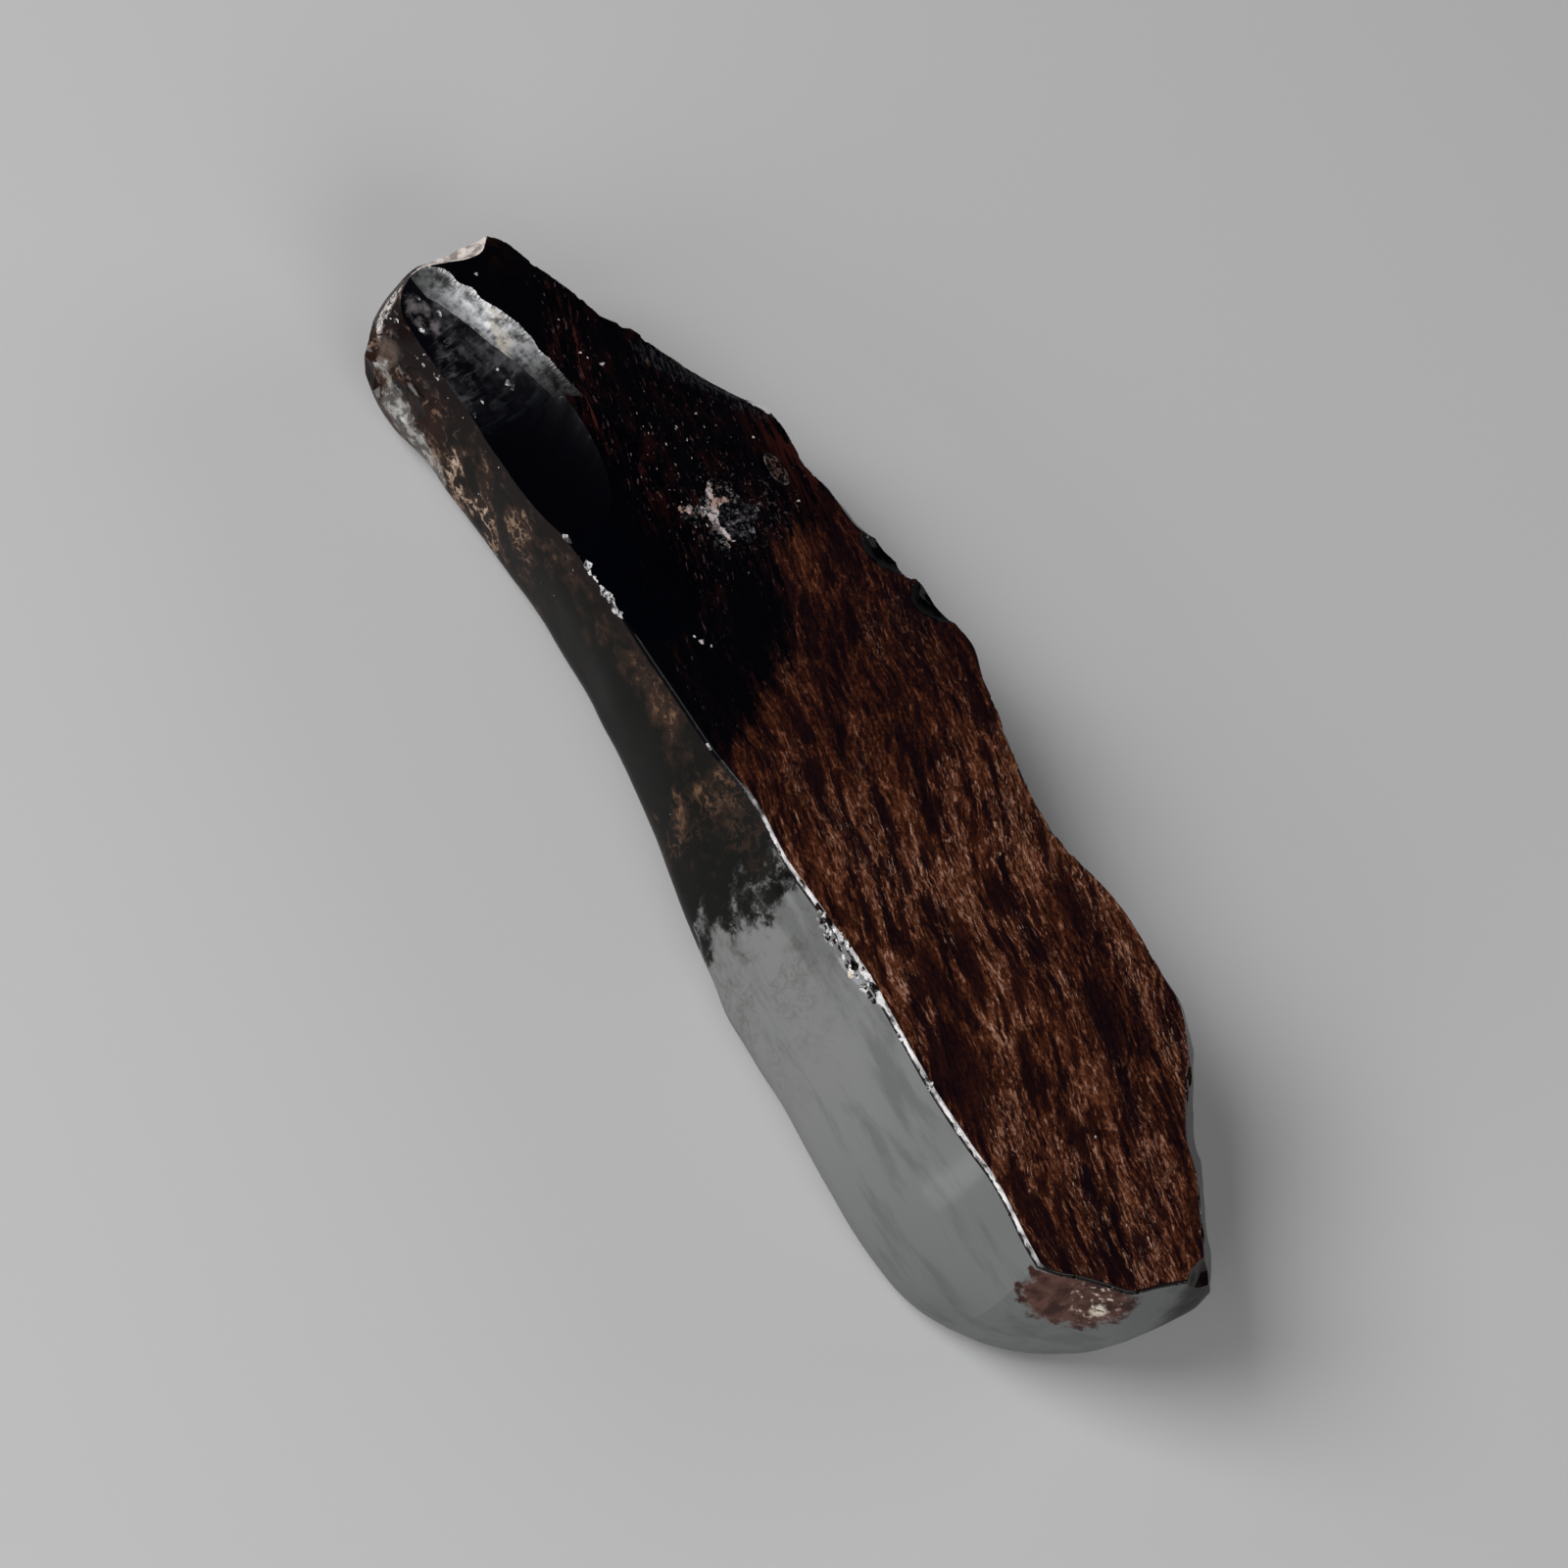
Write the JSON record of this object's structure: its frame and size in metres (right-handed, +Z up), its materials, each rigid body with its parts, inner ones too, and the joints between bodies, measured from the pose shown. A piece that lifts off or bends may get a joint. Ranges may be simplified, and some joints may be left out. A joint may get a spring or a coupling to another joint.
{
  "type": "gold sheen obsidian slab",
  "caption": "Long tapering slab of dark brown sheen obsidian with one polished face, a glassy side, a rough flaked side and shell-shaped chips at the tapered end, lying on its sawn back.",
  "frame": {"origin": "under the middle of the stone's bounding box, in the plane of the sawn back that it rests on", "axes": "+X along the stone towards its tapered chipped end, +Y towards the smooth glassy side, +Z up, out of the polished face"},
  "size_m": [0.1586, 0.049, 0.0236],
  "materials": {
    "obsidian": "glassy polished volcanic glass, dark brown to black with fine copper-gold streaks"
  },
  "bodies": {
    "root": {"obsidian_stone": "obsidian"}
  },
  "joints": []
}
